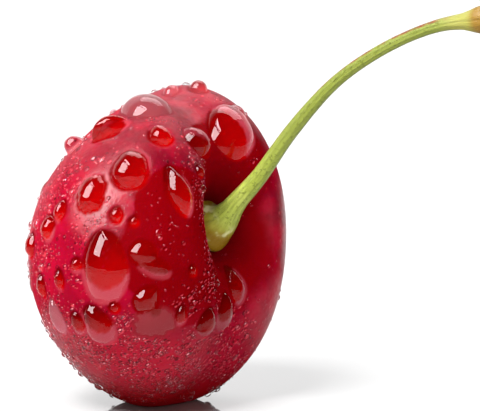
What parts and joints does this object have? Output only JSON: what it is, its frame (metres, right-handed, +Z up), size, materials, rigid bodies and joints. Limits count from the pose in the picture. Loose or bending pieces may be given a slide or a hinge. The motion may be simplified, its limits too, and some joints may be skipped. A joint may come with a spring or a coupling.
{
  "type": "cherry",
  "caption": "Ripe sweet cherry lying on its side, heart-shaped with a deep stem hollow, a seam groove, and a long bent green stem that ends in a woody knob",
  "frame": {"origin": "middle of the small flat spot that the fruit rests on, at ground level", "axes": "+Z up from the ground; +X to the side that the free end of the stem reaches over; -Y towards the side that the stem leans out to; the fruit's own stem axis points to +X and -Y, about 12 degrees above level"},
  "size_m": [0.0361, 0.0295, 0.0334],
  "materials": {
    "skin": "glossy wet red skin over soft flesh",
    "stem": "satin green stalk with fine streaks and a brown woody end",
    "water": "clear water drops and mist on the skin"
  },
  "bodies": {
    "root": {"fruit": "skin", "stem": "stem"}
  },
  "joints": []
}
